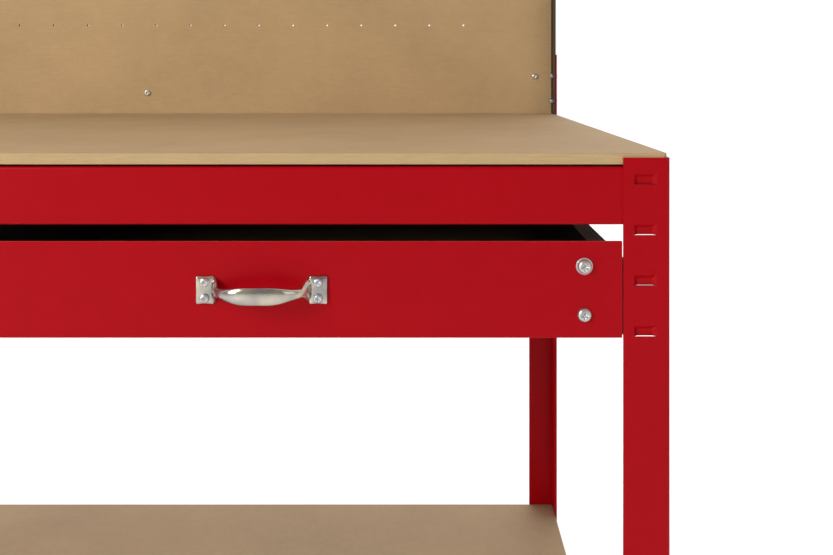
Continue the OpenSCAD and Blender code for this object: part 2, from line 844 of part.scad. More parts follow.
module handle_screws(side) {
    color(zinc) on_drawer(side) handle_screw_places() {
        translate([0, 0, plate_t])
            pan_screw(screw_r, screw_head_r, screw_head_h, plate_t + front_t + screw_nut_h + thread_end);
        translate([0, 0, -front_t - screw_nut_h]) nut(screw_r, screw_nut_r, screw_nut_h);
    }
}

// A bow of constant thickness, cut to a swelling outline seen from the front.
module grip() {
    intersection() {
        translate([0, 0, -grip_h]) linear_extrude(2 * grip_h) intersection() {
            translate([0, handle_out - grip_R]) difference() {
                circle(grip_R, $fn = big_fn);
                circle(grip_R - grip_t, $fn = big_fn);
            }
            translate([-handle_half, 0]) square([2 * handle_half, 2 * handle_out]);
        }
        rotate([-90, 0, 0]) linear_extrude(2 * handle_out) intersection() {
            translate([0, swell_R - grip_h / 2]) circle(swell_R, $fn = big_fn);
            translate([0, grip_h / 2 - swell_R]) circle(swell_R, $fn = big_fn);
        }
    }
}

module handle(side) {
    color(chrome) on_drawer(side) translate([front_x, front_y, front_mid_z]) difference() {
        mirror([0, 1, 0]) {
            grip();
            for (s = [-1, 1]) translate([s * handle_span / 2, 0, 0])
                rotate([-90, 0, 0]) linear_extrude(plate_t) rounded_rect(plate_w, plate_h, plate_round);
        }
        for (s = [-1, 1], t = [-1, 1])
            translate([s * handle_span / 2, 0, t * handle_screw_pitch / 2])
                rotate([90, 0, 0]) bolt_hole(screw_r);
    }
}

// ---------------------------------------------------------------- nodes

front_leg_z = worktop_h - leg_drop;
rear_leg_z = worktop_h + rear_leg_rise;

leg(-1, -1, front_leg_z);  // leg_front_left
leg(1, -1, front_leg_z);  // leg_front_right
leg(-1, 1, rear_leg_z);  // leg_rear_left
leg(1, 1, rear_leg_z);  // leg_rear_right
foot(-1, -1);  // foot_front_left
foot(1, -1);  // foot_front_right
foot(-1, 1);  // foot_rear_left
foot(1, 1);  // foot_rear_right
beam(0, top_beam_z, top_slots);  // top_beam_front
beam(1, top_beam_z, top_slots);  // top_beam_right
beam(2, top_beam_z, top_slots);  // top_beam_rear
beam(3, top_beam_z, top_slots);  // top_beam_left
beam(0, shelf_beam_z, low_slots);  // shelf_beam_front
beam(1, shelf_beam_z, low_slots);  // shelf_beam_right
beam(2, shelf_beam_z, low_slots);  // shelf_beam_rear
beam(3, shelf_beam_z, low_slots);  // shelf_beam_left
worktop();
lower_shelf();
shelf_brace();
upright(-1);  // upright_left
upright(1);  // upright_right
top_rail();
back_panel();
panel_strap();
upright_bolts();
panel_screws();
carrier_bolts();
outer_carrier(-1);  // outer_carrier_left
outer_carrier(1);  // outer_carrier_right
centre_carrier(-1);  // centre_carrier_left
centre_carrier(1);  // centre_carrier_right
drawer_front(-1);  // left_drawer_front
drawer_box(-1);  // left_drawer_box
handle(-1);  // left_handle
handle_screws(-1);  // left_handle_screws
front_bolts(-1);  // left_front_bolts
drawer_front(1);  // right_drawer_front
drawer_box(1);  // right_drawer_box
handle(1);  // right_handle
handle_screws(1);  // right_handle_screws
front_bolts(1);  // right_front_bolts
slide_fixed(-1, true);  // left_outer_slide_fixed
slide_middle(-1, true);  // left_outer_slide_middle
slide_inner(-1, true);  // left_outer_slide_inner
slide_fixed(-1, false);  // left_centre_slide_fixed
slide_middle(-1, false);  // left_centre_slide_middle
slide_inner(-1, false);  // left_centre_slide_inner
slide_fixed(1, true);  // right_outer_slide_fixed
slide_middle(1, true);  // right_outer_slide_middle
slide_inner(1, true);  // right_outer_slide_inner
slide_fixed(1, false);  // right_centre_slide_fixed
slide_middle(1, false);  // right_centre_slide_middle
slide_inner(1, false);  // right_centre_slide_inner
fixed_cages(-1);  // left_fixed_cages
inner_cages(-1);  // left_inner_cages
fixed_cages(1);  // right_fixed_cages
inner_cages(1);  // right_inner_cages
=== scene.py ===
# %% [markdown]
# # A two-drawer workbench, finished in Blender
#
# The steel frame, boards, drawers and slides arrive as exact solids in one shared frame. This lesson
# gives them their looks. Folded sheet steel gets its small rounded edges and powder coat, the boards
# get their pressed wood fibres, and the handles and every screw are made again as surfaces worked out
# with numpy, because their domes, swells and cross recesses are what the eye looks for.

# %% Load the fixed frame
import json
import math

import bmesh
import bpy
import numpy as np
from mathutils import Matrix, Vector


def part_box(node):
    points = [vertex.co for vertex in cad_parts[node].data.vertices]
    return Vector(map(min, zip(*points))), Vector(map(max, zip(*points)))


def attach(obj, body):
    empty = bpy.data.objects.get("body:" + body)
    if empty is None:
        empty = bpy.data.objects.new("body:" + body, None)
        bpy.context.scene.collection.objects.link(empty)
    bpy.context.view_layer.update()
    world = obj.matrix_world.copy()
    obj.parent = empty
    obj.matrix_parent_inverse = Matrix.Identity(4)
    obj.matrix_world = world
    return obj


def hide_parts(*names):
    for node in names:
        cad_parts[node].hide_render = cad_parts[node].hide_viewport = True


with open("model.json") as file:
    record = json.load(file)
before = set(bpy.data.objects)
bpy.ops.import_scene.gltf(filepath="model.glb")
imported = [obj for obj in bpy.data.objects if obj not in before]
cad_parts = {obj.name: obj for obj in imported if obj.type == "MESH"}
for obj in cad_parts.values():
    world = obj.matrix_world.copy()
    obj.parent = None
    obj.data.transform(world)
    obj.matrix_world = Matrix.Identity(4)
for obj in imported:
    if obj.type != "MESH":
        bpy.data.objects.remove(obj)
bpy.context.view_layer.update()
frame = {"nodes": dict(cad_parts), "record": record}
record = frame["record"]
bodies = record["behaviour"]["bodies"]
body_of = {node: body for body, nodes in bodies.items() for node in nodes}
slot_of = {part["node"]: part["material_slot"] for part in record["subparts"]}

# %% [markdown]
# ## Sizes in metres
#
# Everything here is a place or a size on the real bench. Places come from the boxes of the solids, so
# a changed drawing carries its finishes along. MM turns the workshop's millimetres into metres.

# %% Read the places from the solids
MM = 0.001
SIDES = ("left", "right")


def box(node):
    """The lowest and highest corner of a node, as arrays."""
    low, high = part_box(node)
    return np.array(low), np.array(high)


front_y = box("leg_front_right")[0][1]
bench_half = box("leg_front_right")[1][0]
worktop_z = box("worktop")[1][2]
print("front plane", round(front_y, 4), "half width", round(bench_half, 4), "worktop", round(worktop_z, 4))

# %% [markdown]
# ## A small language for materials
#
# A material is a network of nodes, and building one call by call hides what it says. Here one class
# wraps a node's output, so that arithmetic on it adds Math nodes, and one method adds any other node
# from its kind, its settings and its sockets. A formula for paint then reads like a formula.


# %% Shader values that can be added and multiplied
class Value:
    """One output of a node. + - * / and ** on it add Math nodes, also with a number in front."""

    def __init__(self, finish, socket):
        self.finish = finish
        self.socket = socket

    def _math(self, operation, first, second=0.0):
        return self.finish.node("Math", {"operation": operation}, {0: first, 1: second})

    def __add__(self, other):
        return self._math("ADD", self, other)

    def __sub__(self, other):
        return self._math("SUBTRACT", self, other)

    def __mul__(self, other):
        return self._math("MULTIPLY", self, other)

    def __truediv__(self, other):
        return self._math("DIVIDE", self, other)

    def __pow__(self, other):
        return self._math("POWER", self, other)

    def __rsub__(self, other):
        return self._math("SUBTRACT", other, self)

    __radd__ = __add__
    __rmul__ = __mul__

    def abs(self):
        """The value without its sign."""
        return self._math("ABSOLUTE", self)

    def span(self, low, high):
        """0 below low, 1 above high, and a smooth step between."""
        settings = {"interpolation_type": "SMOOTHSTEP"}
        return self.finish.node("MapRange", settings, {0: self, 1: low, 2: high})


class Finish:
    """A material being made: its tree, its Principled shader and the coordinates it reads."""

    def __init__(self, name, **constants):
        self.material = bpy.data.materials.new(name)
        self.material.use_nodes = True
        self.tree = self.material.node_tree
        self.shader = self.tree.nodes["Principled BSDF"]
        for socket, value in constants.items():
            self.set(socket.replace("_", " "), value)
        self.coords = self.node("TexCoord", output="Object")

    def set(self, socket, value):
        """Puts a value or a link into a socket of the shader."""
        self._fill(self.shader.inputs[socket], value)

    def _fill(self, target, value):
        if isinstance(value, Value):
            self.tree.links.new(value.socket, target)
        else:
            target.default_value = value

    def node(self, kind, settings=None, inputs=None, output=0):
        """Adds a node of any kind. Its settings are set first, then its sockets."""
        made = self.tree.nodes.new("ShaderNode" + kind)
        for name, value in (settings or {}).items():
            setattr(made, name, value)
        for name, value in (inputs or {}).items():
            self._fill(made.inputs[name], value)
        return Value(self, made.outputs[output])

    def stretched(self, x, y, z):
        """Object coordinates multiplied by x, y and z, for patterns that run one way."""
        return self.node("Mapping", {}, {"Vector": self.coords, "Scale": (x, y, z)})

    def noise(self, scale, detail=2.0, rough=0.5, coords=None):
        """Soft noise from 0 to 1. Scale is about how many lumps there are to a metre."""
        sockets = {"Vector": coords or self.coords, "Scale": scale, "Detail": detail, "Roughness": rough}
        return self.node("TexNoise", {}, sockets)

    def cells(self, scale, feature="F1", coords=None):
        """Distance to the nearest of many scattered points."""
        sockets = {"Vector": coords or self.coords, "Scale": scale}
        return self.node("TexVoronoi", {"feature": feature}, sockets)

    def mix(self, factor, first, second):
        """A colour between two colours."""
        settings = {"data_type": "RGBA", "clamp_factor": True}
        return self.node("Mix", settings, {0: factor, 6: first, 7: second}, output=2)

    def shaded(self, colour, amount):
        """The colour multiplied by a grey value."""
        grey = self.node("CombineColor", {}, {0: amount, 1: amount, 2: amount})
        settings = {"data_type": "RGBA", "blend_type": "MULTIPLY"}
        return self.node("Mix", settings, {0: 1.0, 6: colour, 7: grey}, output=2)

    def bump(self, height, depth, strength=1.0):
        """Tilts the surface as if height stood out by depth, in metres."""
        sockets = {"Strength": strength, "Distance": depth, "Height": height}
        self.set("Normal", self.node("Bump", {}, sockets))


# %% [markdown]
# ## Powder coat
#
# The red frame and the black drawer boxes are sheet steel with powder coat: a paint baked from dry
# powder. It levels into a fine orange peel about a millimetre across, its gloss wanders a little from
# place to place, and a few dust specks are baked in. A flat colour would look like plastic, so the
# peel is a bump, and colour and roughness each follow their own slow noise.


# %% Make powder coats
def powder_coat(name, colour, rough, peel, spread, gloss):
    """Colour times a slow noise, roughness plus a slow noise, and a bump of two fine noises."""
    coat = Finish(name, Specular_IOR_Level=gloss, Coat_Roughness=0.15)
    drift = coat.noise(5.0, 3.0)
    patch = coat.noise(38.0, 4.0, 0.6)
    specks = coat.cells(420.0).span(0.07, 0.02)
    light = 1.0 - spread + drift * spread + patch * spread - specks * 0.12
    coat.set("Base Color", coat.shaded(colour, light))
    coat.set("Roughness", rough + patch * 0.12 - 0.06 + specks * 0.15)
    coat.set("Coat Weight", gloss * 0.3 + drift * gloss * 0.3)
    orange_peel = coat.noise(760.0, 1.0, 0.4) + coat.noise(1900.0, 1.0) * 0.35
    coat.bump(orange_peel + specks * 0.8, peel)
    return coat.material


red_paint = powder_coat("red_powder_coat", (0.455, 0.0016, 0.0070, 1), 0.36, 0.022 * MM, 0.10, 0.08)
# A paler, glossier red for the rounded edges of the red parts: mostly a painted highlight.
red_edge_painted_highlight = powder_coat("red_powder_coat_painted_edge_highlight", (0.78, 0.16, 0.13, 1), 0.30, 0.010 * MM, 0.06, 0.5)
black_paint = powder_coat("black_powder_coat", (0.0125, 0.0115, 0.013, 1), 0.42, 0.030 * MM, 0.25, 0.45)
print("paints", red_paint.name, black_paint.name)

# %% [markdown]
# ## Fibreboard
#
# The worktop and shelf are medium-density fibreboard: fine wood fibres pressed with glue. The pressed
# faces are smooth and matt, with short pale and dark fibres and faint cloudy patches. The sawn edges
# are paler and yellower, rougher, and show thin layers that lie flat. The direction that a face looks
# in tells the two apart, so one material does both.


# %% Make fibreboards
def fibreboard(name, face, edge, layered_axis, cloud=0.16):
    """Face and edge colours mixed by the face's direction, with fibres, specks and clouds on top."""
    board = Finish(name, Specular_IOR_Level=0.3)
    normal = board.node("TexCoord", output="Normal")
    parts = board.node("SeparateXYZ", {}, {0: normal}, output=layered_axis)
    is_edge = 1.0 - parts.abs().span(0.35, 0.75)
    clouds = board.noise(7.0, 4.0, 0.55)
    blotches = board.noise(60.0, 3.0, 0.6)
    fibres = board.noise(330.0, 3.0, 0.7, board.stretched(1.0, 0.16, 1.0))
    crossed = board.noise(330.0, 3.0, 0.7, board.stretched(0.16, 1.0, 1.0))
    grit = board.noise(1500.0, 2.0, 0.6)
    dark = board.cells(240.0).span(0.16, 0.06) * board.noise(90.0).span(0.5, 0.62)
    pale = board.cells(150.0, coords=board.stretched(1.0, 0.4, 1.0)).span(0.14, 0.05)
    stretch = [0.06, 0.06, 0.06]
    stretch[layered_axis] = 1.0
    layers = board.noise(900.0, 2.0, 0.6, board.stretched(*stretch))
    face_light = 1.0 - cloud * 1.5 + clouds * cloud * 2 + blotches * 0.12 + (fibres + crossed) * 0.16 - 0.1
    face_light = face_light + (grit - 0.5) * 0.16 - dark * 0.22 + pale * 0.07
    edge_light = 0.80 + layers * 0.28 + (grit - 0.5) * 0.3 + blotches * 0.08
    face_colour = board.shaded(face, face_light)
    edge_colour = board.shaded(edge, edge_light)
    board.set("Base Color", board.mix(is_edge, face_colour, edge_colour))
    board.set("Roughness", 0.66 + fibres * 0.12 + is_edge * 0.16)
    height = (fibres + crossed) * 0.35 + grit * 0.4 + is_edge * (layers * 1.6 + grit)
    board.bump(height, 0.07 * MM)
    return board.material


mdf = fibreboard("fibreboard_natural", (0.475, 0.318, 0.172, 1), (0.60, 0.425, 0.215, 1), 2)
# The back panel's face is paler than the worktop's: painted light for the front light it lacks. Its edges,
# the walls of its small holes among them, are much darker than its face.
panel_board_painted_light = fibreboard("fibreboard_panel_painted_light", (0.56, 0.375, 0.190, 1), (0.30, 0.19, 0.10, 1), 1, 0.2)
# The shelf is darker than the worktop, face and edge alike: painted shade for its place under the worktop.
shelf_board_painted_shade = fibreboard("fibreboard_shelf_painted_shade", (0.40, 0.270, 0.155, 1), (0.50, 0.355, 0.185, 1), 2)
print("boards", mdf.name, panel_board_painted_light.name)

# %% [markdown]
# ## Bare and plated metal
#
# The handles are die-cast and nickel-plated, so their skin is smooth with shallow ripples. The screws
# are zinc-plated: a dull silver with a faint warm and cool bloom. The ball slides are rolled from
# plated strip, so fine lines run along them. All three are fully metallic, and what tells them apart is
# how rough they are and which way their marks run.


# %% Make metals
def plated_metal(name, warm, cool, rough, marks, depth, scale, bloom_scale=45.0):
    """Two metal colours mixed by a slow bloom, and roughness and bump from marks stretched one way."""
    metal = Finish(name, Metallic=1.0)
    bloom = metal.noise(bloom_scale, 2.0, 0.5)
    lines = metal.noise(scale, 3.0, 0.6, metal.stretched(*marks))
    smears = metal.noise(160.0, 4.0, 0.7)
    metal.set("Base Color", metal.mix(bloom.span(0.35, 0.65), warm, cool))
    metal.set("Roughness", rough + lines * 0.10 + smears * 0.14 - 0.12)
    metal.bump(lines + smears * 0.3, depth)
    return metal.material


EVEN = (1.0, 1.0, 1.0)
ALONG_Y = (1.0, 0.015, 1.0)
nickel = plated_metal(
    "nickel_plate", (0.74, 0.67, 0.55, 1), (0.44, 0.42, 0.40, 1), 0.19, EVEN, 0.04 * MM, 260.0
)
zinc = plated_metal(
    "zinc_plate", (0.72, 0.69, 0.63, 1), (0.66, 0.69, 0.73, 1), 0.34, EVEN, 0.02 * MM, 900.0
)
rolled_zinc = plated_metal(
    "rolled_zinc_strip", (0.60, 0.59, 0.55, 1), (0.54, 0.57, 0.61, 1), 0.34, ALONG_Y, 0.02 * MM, 1500.0
)
print("metals", nickel.name, zinc.name, rolled_zinc.name)

# %% [markdown]
# ## Moulded plastic
#
# The feet are black plastic caps. Their mould was spark-eroded, which leaves an even fine grain, and
# the floor has scuffed them near the bottom, where they are greyer and duller.


# %% Make the foot plastic
def scuffed_plastic(name):
    """Near-black, with a grain bump, greyed by scratches that fade out 12 mm above the floor."""
    plastic = Finish(name, Specular_IOR_Level=0.45)
    height = plastic.node("SeparateXYZ", {}, {0: plastic.coords}, output="Z")
    scratches = plastic.noise(700.0, 3.0, 0.7, plastic.stretched(0.1, 0.1, 1.0)).span(0.52, 0.7)
    scuff = scratches * (1.0 - height.span(0.0, 12 * MM))
    plastic.set("Base Color", plastic.mix(scuff, (0.018, 0.018, 0.019, 1), (0.11, 0.105, 0.10, 1)))
    plastic.set("Roughness", 0.52 + scuff * 0.3)
    plastic.bump(plastic.noise(1600.0, 2.0, 0.5), 0.05 * MM)
    return plastic.material


foot_plastic = scuffed_plastic("moulded_foot_plastic")
finishes = {
    "red_steel": red_paint,
    "black_steel": black_paint,
    "fibreboard": mdf,
    "handle_metal": nickel,
    "zinc_fasteners": zinc,
    "slide_steel": rolled_zinc,
    "foot_plastic": foot_plastic,
}

# %% [markdown]
# ## Softened copies of the folded parts
#
# A drawn solid has knife edges, and a real sheared or sawn edge never does. Its tiny round catches a
# line of light, which is how the eye reads sheet steel. Each solid is copied, its loose triangles are
# merged and its flat faces joined again, and a Bevel modifier rounds what is left. Powder coat runs thin
# on an outside edge, and the red parts get a paler, glossier paint on the rounded strips: mostly a
# painted highlight for the line of light those edges catch. Each kind of part has its own rounding in
# EDGES, and the back panel takes less. The shelf and the back panel get boards of their own colour: the
# shelf's darker board is painted shade, the panel's paler one painted light. The copy stands for the
# solid and rides on the same body.


# %% Round the edges of every carried-over node
def as_piece(name, mesh, material, body):
    """Puts a mesh into the scene as one finished piece on a body."""
    mesh.materials.clear()
    mesh.materials.append(material)
    piece = bpy.data.objects.new(name, mesh)
    bpy.context.scene.collection.objects.link(piece)
    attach(piece, body)
    return piece


def softened(node, edge, material=None, segments=2):
    """A merged copy of a node whose sharp edges are rounded by edge, in metres. On red parts a paler
    paint, mostly a painted highlight, covers the rounding.
    """
    mesh = frame["nodes"][node].data.copy()
    work = bmesh.new()
    work.from_mesh(mesh)
    bmesh.ops.remove_doubles(work, verts=work.verts, dist=1e-6)
    flat = math.radians(0.4)
    bmesh.ops.dissolve_limit(work, angle_limit=flat, verts=work.verts, edges=work.edges)
    work.to_mesh(mesh)
    work.free()
    mesh.shade_smooth()
    slot = slot_of[node]
    piece = as_piece(node + "_finished", mesh, material or finishes[slot], body_of[node])
    bevel = piece.modifiers.new("edges", "BEVEL")
    bevel.width = edge
    bevel.segments = segments
    bevel.limit_method = "ANGLE"
    bevel.angle_limit = math.radians(40)
    # The rounded strips of the red parts get the paler paint: a painted highlight.
    if slot == "red_steel":
        mesh.materials.append(red_edge_painted_highlight)
        bevel.material = 1
    level = piece.modifiers.new("flat faces", "WEIGHTED_NORMAL")
    level.mode = "FACE_AREA"
    level.weight = 100
    level.keep_sharp = False
    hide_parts(node)
    return piece


PANEL_SHARE = 0.3
EDGES = {
    "red_steel": 0.42 * MM,
    "black_steel": 0.22 * MM,
    "fibreboard": 0.6 * MM,
    "slide_steel": 0.15 * MM,
    "foot_plastic": 0.6 * MM,
}
BOARDS = {"back_panel": panel_board_painted_light, "lower_shelf": shelf_board_painted_shade}
fastener_nodes = [n for n in body_of if n.endswith(("_screws", "_bolts"))]
handle_nodes = [side + "_handle" for side in SIDES]
cage_nodes = [n for n in body_of if n.endswith("_cages")]
kept = fastener_nodes + handle_nodes + cage_nodes
for node in body_of:
    if node not in kept:
        share = PANEL_SHARE if node == "back_panel" else 1.0
        softened(node, EDGES[slot_of[node]] * share, BOARDS.get(node))
for node in cage_nodes:
    cage = frame["nodes"][node]
    for place in cage.material_slots:
        place.material = rolled_zinc
print("softened", len(body_of) - len(kept), "nodes")

# %% [markdown]
# ## Surfaces from grids
#
# Round and swelling pieces are made as a grid of points: one direction runs along the piece and the
# other goes round it. The whole grid is one numpy array, so a shape is a formula and not a list of
# points. The second direction closes on itself, and the first and last rings are closed by a face.


# %% Turn grids into closed meshes
def closed_tube(grid):
    """Vertices and faces of rings of points, each ring closed, with a face over each end."""
    rings, spokes = grid.shape[:2]
    i, j = np.meshgrid(np.arange(rings - 1), np.arange(spokes), indexing="ij")
    here = i * spokes + j
    beside = i * spokes + (j + 1) % spokes
    quads = np.stack([here, beside, beside + spokes, here + spokes], axis=-1).reshape(-1, 4)
    first = np.arange(spokes)[::-1]
    last = (rings - 1) * spokes + np.arange(spokes)
    return grid.reshape(-1, 3), quads.tolist() + [first.tolist(), last.tolist()]


def joined(parts):
    """Several sets of vertices and faces as one."""
    verts = []
    faces = []
    start = 0
    for points, polygons in parts:
        verts.append(points)
        faces += [[start + k for k in polygon] for polygon in polygons]
        start += len(points)
    return np.concatenate(verts), faces


def made_piece(name, parts, material, body, crease=35):
    """A closed piece from grids. Edges sharper than crease degrees stay sharp."""
    verts, faces = joined(parts)
    mesh = bpy.data.meshes.new(name)
    mesh.from_pydata(verts.tolist(), [], faces)
    work = bmesh.new()
    work.from_mesh(mesh)
    bmesh.ops.remove_doubles(work, verts=work.verts, dist=1e-7)
    bmesh.ops.recalc_face_normals(work, faces=work.faces)
    work.to_mesh(mesh)
    work.free()
    mesh.shade_smooth()
    mesh.set_sharp_from_angle(angle=math.radians(crease))
    return as_piece(name, mesh, material, body)


def turned(profile, spokes=48):
    """A lathe: each (radius, height) of the profile goes round the Z axis."""
    profile = np.asarray(profile, float)
    angle = np.linspace(0, 2 * np.pi, spokes, endpoint=False)
    grid = np.empty((len(profile), spokes, 3))
    grid[..., 0] = profile[:, :1] * np.cos(angle)
    grid[..., 1] = profile[:, :1] * np.sin(angle)
    grid[..., 2] = profile[:, 1:]
    return grid


def standing(grid, place, axis):
    """Turns a grid's Z axis to a unit axis, and moves its origin to a place."""
    axis = np.asarray(axis, float)
    side = np.array([0.0, 0.0, 1.0]) if abs(axis[2]) < 0.5 else np.array([1.0, 0.0, 0.0])
    first = np.cross(side, axis)
    first /= np.linalg.norm(first)
    second = np.cross(axis, first)
    return grid @ np.stack([first, second, axis]) + np.asarray(place)


# %% [markdown]
# ## Screws and bolts
#
# A pan head is a flat dome with a rounded shoulder and a cross recess. In metal it is struck by a punch,
# so here the dome is one height field in polar coordinates and the recess is taken away from it: deepest
# in the middle, with sloping arms. The nut is a hexagon whose corners are cut by a cone, and the bolt's
# end shows a few turns of thread, a radius that rises and falls along a helix.


# %% Shape one fastener
THREAD_END = 1 * MM


def pan_head(radius, height):
    """A dome, the square root of 1 - s^5 at a share s of the radius, less a cross with sloping arms."""
    t = np.linspace(0.02, 1.0, 30)
    share = np.sin(t * np.pi / 2) ** 0.9
    angle = np.linspace(0, 2 * np.pi, 72, endpoint=False)
    x = share[:, None] * np.cos(angle)
    y = share[:, None] * np.sin(angle)
    dome = np.sqrt(np.clip(1.0 - share**5, 0, 1))[:, None] * np.ones_like(x)

    def arm(along, across):
        soft = 0.035
        reach = 1 / (1 + np.exp((np.abs(along) - 0.52) / soft))
        width = 1 / (1 + np.exp((np.abs(across) - 0.11) / soft))
        return reach * width * (1.0 - 0.7 * np.abs(along) / 0.52)

    recess = np.maximum(arm(x, y), arm(y, x))
    z = height * (dome * 0.99 + 0.01 - 0.62 * np.clip(recess, 0, 1))
    grid = np.stack([x * radius, y * radius, z], -1)
    foot = np.stack([grid[-1, :, 0], grid[-1, :, 1], np.zeros(len(angle))], -1)
    return np.concatenate([grid, foot[None]])


def hex_nut(radius, height):
    """The radius is a hexagon's, held under a cone near both faces."""
    spokes = 72
    angle = np.linspace(0, 2 * np.pi, spokes, endpoint=False)
    sector = (angle + np.pi / 6) % (np.pi / 3) - np.pi / 6
    hexagon = radius * math.cos(np.pi / 6) / np.cos(sector)
    level = np.array([0.0, 0.06, 0.14, 0.5, 0.86, 0.94, 1.0])
    cone = radius * (0.90 + 0.75 * np.minimum(level, 1 - level))
    ring = np.minimum(hexagon[None, :], cone[:, None])
    z = np.broadcast_to(level[:, None] * height, ring.shape)
    return np.stack([ring * np.cos(angle), ring * np.sin(angle), z], -1)


def thread(radius, length, pitch):
    """The radius rises and falls once each pitch along a helix, and the end is chamfered."""
    turns = max(int(length / pitch * 8), 8)
    z = np.linspace(0, length, turns)
    angle = np.linspace(0, 2 * np.pi, 32, endpoint=False)
    phase = z[:, None] / pitch - angle / (2 * np.pi)
    saw = np.abs((phase % 1.0) - 0.5) * 2
    end = np.clip((length - z) / (0.4 * pitch), 0, 1)[:, None]
    ring = radius * (0.87 + 0.13 * saw) * (0.85 + 0.15 * end)
    rise = np.broadcast_to(z[:, None], ring.shape)
    return np.stack([ring * np.cos(angle), ring * np.sin(angle), rise], -1)


def washer(radius, height):
    """A flat ring with rounded rims, without its hidden hole."""
    lip = 0.25 * height
    profile = [(radius - lip, 0), (radius, lip), (radius, height - lip), (radius - lip, height)]
    return turned(profile, 64)


def fastener(tip, tail, shank, washer_height=0.0):
    """A head at tip, a nut near tail and the shank between. Sizes follow the shank's radius."""
    axis = (tip - tail) / np.linalg.norm(tip - tail)
    head_height = 1.2 * shank
    head_radius = 1.87 * shank
    seat = tip - axis * head_height
    nut_height = 1.6 * shank
    nut_place = tail + axis * THREAD_END
    core = 0.95 * shank
    parts = [
        standing(pan_head(head_radius, head_height), seat, axis),
        standing(turned([(core, 0), (core, np.linalg.norm(seat - nut_place))], 32), nut_place, axis),
        standing(hex_nut(1.88 * shank, nut_height), nut_place, axis),
        standing(thread(shank, THREAD_END, 0.3 * shank), nut_place, -axis),
    ]
    if washer_height:
        parts.append(standing(washer(2.2 * shank, washer_height), seat - axis * washer_height, axis))
    return [closed_tube(grid) for grid in parts]


# %% [markdown]
# ## Putting the fasteners where the drawing has them
#
# Each fastener node holds several plain bolts. Their places are read back from the solids: the mesh
# falls into separate islands, and the box of each island gives a bolt's middle and its two ends. Which
# end is the head follows from which way that group faces. A front bolt drawn wider than the others
# stands for one with a washer, and gets it.


# %% Find the islands of a node
def island_boxes(node):
    """The boxes of a node's separate solids: points joined by edges belong together."""
    work = bmesh.new()
    work.from_mesh(frame["nodes"][node].data)
    bmesh.ops.remove_doubles(work, verts=work.verts, dist=1e-6)
    left = set(work.verts)
    boxes = []
    while left:
        found = [left.pop()]
        stack = list(found)
        while stack:
            for edge in stack.pop().link_edges:
                for vert in edge.verts:
                    if vert in left:
                        left.remove(vert)
                        found.append(vert)
                        stack.append(vert)
        points = np.array([v.co[:] for v in found])
        boxes.append((points.min(0), points.max(0)))
    work.free()
    return boxes


# %% Replace every fastener node
def head_axis(node, middle):
    """The way that the heads of a group face: outwards, or towards the front."""
    if node == "upright_bolts":
        return np.array([math.copysign(1, middle[0]), 0.0, 0.0])
    if node == "carrier_bolts" and middle[1] > 0:
        return np.array([0.0, 1.0, 0.0])
    return np.array([0.0, -1.0, 0.0])


SHANKS = {"handle_screws": 2.0 * MM, "front_bolts": 3.0 * MM}
FRAME_SHANK = 2.5 * MM
WIDE_BOLT = 12.5 * MM
WASHER_HEIGHT = 1.2 * MM
made = 0
for node in fastener_nodes:
    shank = SHANKS.get(node.split("_", 1)[1], FRAME_SHANK)
    parts = []
    for low, high in island_boxes(node):
        middle = (low + high) / 2
        axis = head_axis(node, middle)
        half = abs(axis @ (high - low)) / 2
        wide = "front_bolts" in node and (high - low)[0] > WIDE_BOLT
        washer_height = WASHER_HEIGHT if wide else 0.0
        parts += fastener(middle + axis * half, middle - axis * half, shank, washer_height)
        made += 1
    piece = made_piece(node + "_finished", parts, zinc, body_of[node])
    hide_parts(node)
print("fasteners", made)

# %% [markdown]
# ## Bow handles
#
# The handle is one casting. Two flat feet are screwed to the drawer, and a bow springs from their inner
# edges: thick and round at the neck, then wide and thin in the middle where the fingers go. The bow's
# centre line is a flattened arch, its section is an oval, and both its width and its thickness are
# smooth functions of the distance along it. The feet are low pillows with rounded corners.


# %% Shape a handle
def smooth_step(x):
    """0 below 0, 1 above 1, and 3x^2 - 2x^3 between."""
    x = np.clip(x, 0, 1)
    return x * x * (3 - 2 * x)


def bow(half, reach, width_mid, width_neck, width_root):
    """An oval carried along y = -reach (1 - (1 - u)^3)^0.82, where u runs from a foot to the middle."""
    turn = np.linspace(-1.0, 1.0, 121)
    along = np.sign(turn) * (1 - (1 - np.abs(turn)) ** 1.5)
    x = half * along
    u = 1 - np.abs(along)
    y = -reach * (1 - (1 - u) ** 3) ** 0.82
    slope = np.stack([np.gradient(x), np.gradient(y)], -1)
    slope /= np.linalg.norm(slope, axis=1, keepdims=True)
    outwards = np.stack([slope[:, 1], -slope[:, 0]], -1)
    swell = smooth_step((u - 0.14) / 0.62)
    root = 1 - smooth_step((u + 0.03) / 0.20)
    width = width_neck + (width_mid - width_neck) * swell + (width_root - width_neck) * root
    thick = 5.4 * MM - 1.4 * MM * swell + 2.4 * MM * root
    around = np.linspace(0, 2 * np.pi, 48, endpoint=False)
    oval = 2 / 2.3
    across = np.sign(np.sin(around)) * np.abs(np.sin(around)) ** oval
    out = np.sign(np.cos(around)) * np.abs(np.cos(around)) ** oval
    out = np.where(out < 0, out * 0.6, out)
    px = x[:, None] + outwards[:, :1] * (out - 1) * thick[:, None] / 2
    py = y[:, None] + outwards[:, 1:] * (out - 1) * thick[:, None] / 2
    pz = across * width[:, None] / 2
    return np.stack([px, np.minimum(py, -0.2 * MM), pz], -1)


